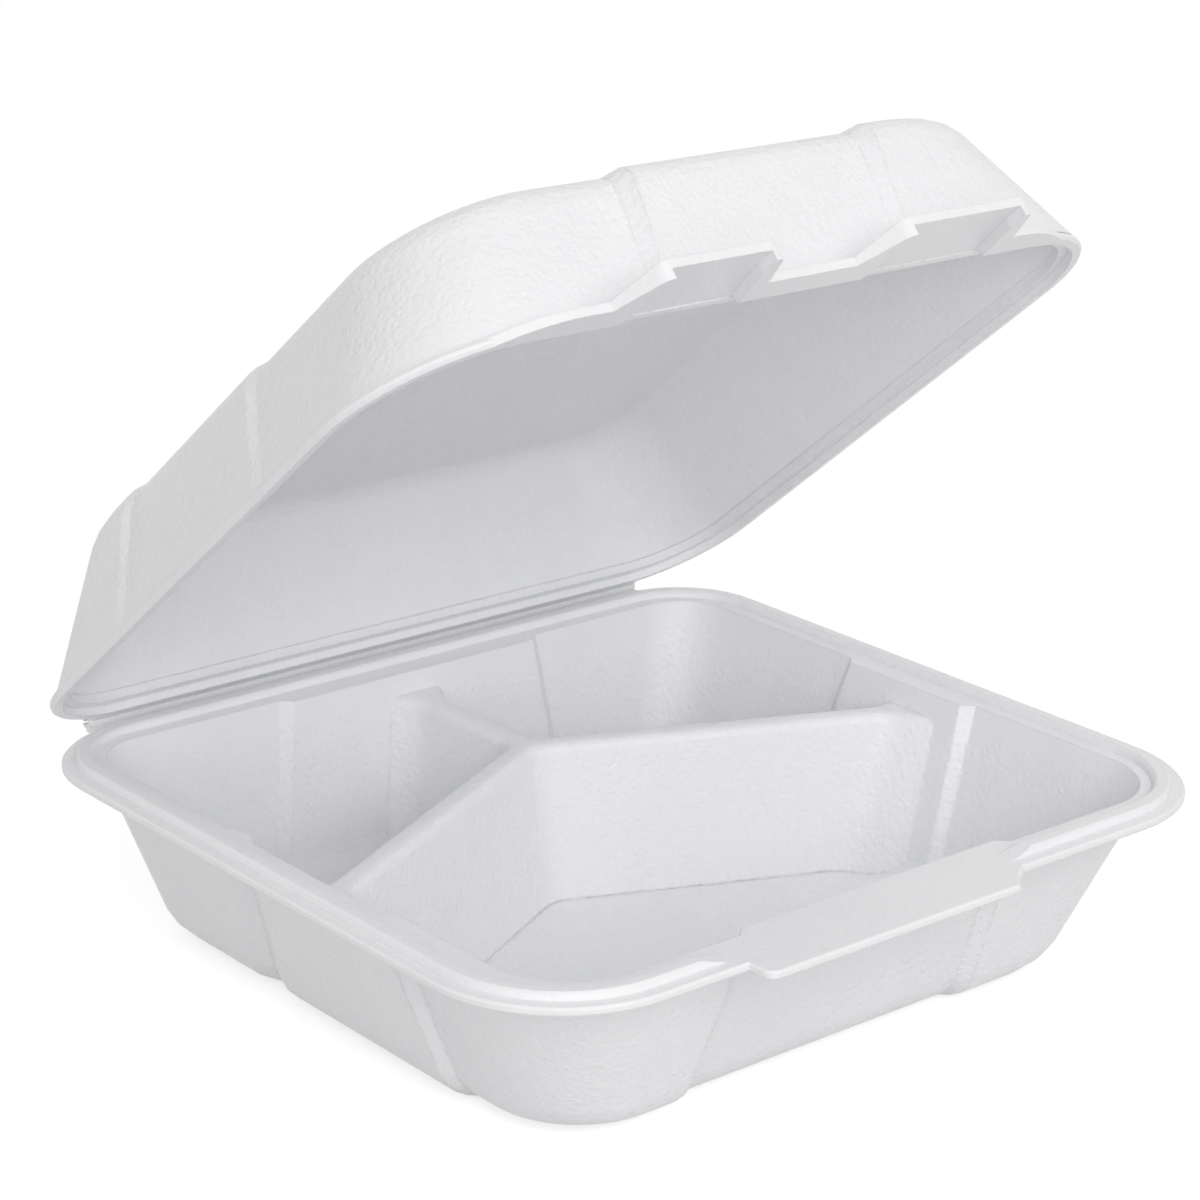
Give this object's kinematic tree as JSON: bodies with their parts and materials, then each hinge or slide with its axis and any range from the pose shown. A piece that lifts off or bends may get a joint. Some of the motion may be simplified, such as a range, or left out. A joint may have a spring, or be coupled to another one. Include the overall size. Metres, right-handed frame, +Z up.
{
  "type": "foam clamshell container",
  "caption": "Foam take-out container: a shallow tray with a Y-shaped divider and a raised rim, a domed lid hinged along the back, and a latch tab with lid hooks at the front.",
  "frame": {"origin": "middle of the tray's underside, on the table", "axes": "+X along the hinge, to the right as seen from the latch side; -Y towards the latch, +Y towards the hinge; +Z up"},
  "size_m": [0.235, 0.2301, 0.2188],
  "materials": {
    "foam": "white expanded polystyrene foam with a fine pebbled skin and a soft sheen"
  },
  "bodies": {
    "tray": {"tray": "foam"},
    "lid": {"lid": "foam"}
  },
  "joints": [
    {"name": "lid_hinge", "type": "hinge", "parent": "tray", "child": "lid", "pos_m": [0, 0.1105, 0.0522], "axis": [-1, 0, 0], "range_deg": [-39.5, 140.5]}
  ]
}
